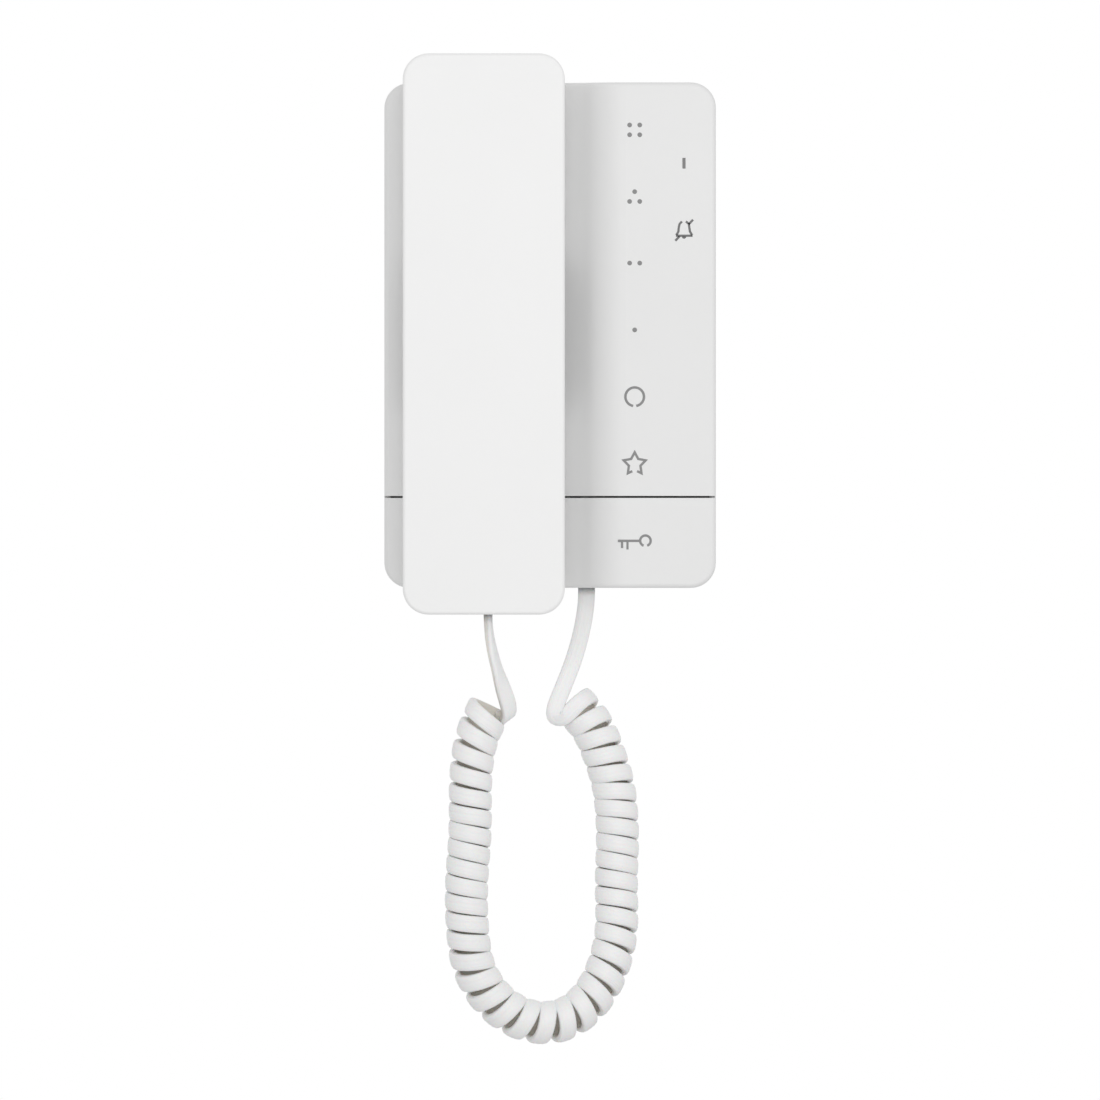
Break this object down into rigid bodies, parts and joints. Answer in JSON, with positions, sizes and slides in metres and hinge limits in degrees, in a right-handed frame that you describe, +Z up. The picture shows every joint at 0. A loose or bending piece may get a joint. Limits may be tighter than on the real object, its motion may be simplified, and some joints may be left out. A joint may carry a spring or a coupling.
{
  "type": "audio intercom handset",
  "caption": "Wall-mounted audio intercom: a wall unit with touch signs and a door key strip, a handset hung on its left side, and a curly cord between them.",
  "frame": {"origin": "centre of the wall bracket's back face, on the wall", "axes": "+Z up, +Y into the wall, +X to the right of someone who faces the unit; its front looks along -Y"},
  "size_m": [0.105, 0.044, 0.3129],
  "materials": {
    "shell": "satin",
    "cord": "satin",
    "steel": "satin",
    "board": "satin",
    "dark_plastic": "satin",
    "green_plastic": "satin",
    "clear_plastic": "gloss",
    "rubber": "matte",
    "aluminium": "satin"
  },
  "bodies": {
    "base": {"wall_bracket": "steel", "rear_housing": "shell", "front_cover": "shell", "key_spring": "steel", "main_board": "board", "board_parts": "dark_plastic", "terminal_block": "green_plastic", "touch_board": "board", "board_link": "dark_plastic", "status_lens": "clear_plastic", "status_led": "clear_plastic", "key_switch": "dark_plastic", "ringer": "dark_plastic", "plunger_spring": "steel", "hook_switch": "dark_plastic", "cover_screws": "steel", "board_screws": "steel", "base_jack": "dark_plastic", "base_plug": "clear_plastic", "curly_cord": "cord", "cord_lead_handset": "cord", "cord_lead_base": "cord"},
    "handset": {"handset_front_shell": "shell", "handset_rear_shell": "shell", "handset_screws": "steel", "receiver_capsule": "aluminium", "receiver_gasket": "rubber", "microphone_capsule": "aluminium", "microphone_boot": "rubber", "handset_jack": "dark_plastic", "handset_plug": "clear_plastic"},
    "hook_plunger": {"hook_plunger": "shell"},
    "door_key": {"door_key": "shell"}
  },
  "joints": [
    {"name": "handset_lift", "type": "slide", "parent": "base", "child": "handset", "axis": [0, -1, 0], "range_m": [0, 0.06]},
    {"name": "hook_travel", "type": "slide", "parent": "base", "child": "hook_plunger", "axis": [0, -1, 0], "range_m": [0, 0.004], "deforming": ["plunger_spring"]},
    {"name": "door_key_press", "type": "hinge", "parent": "base", "child": "door_key", "pos_m": [0, -0.0082, -0.071], "axis": [-1, 0, 0], "range_deg": [0, 1.4], "stiffness_Nm_per_rad": 0.6, "springref_deg": -1.72, "deforming": ["key_spring"]}
  ],
  "couplings": [
    {"joint": "hook_travel", "follows": "handset_lift", "ratio": 0.0666}
  ]
}
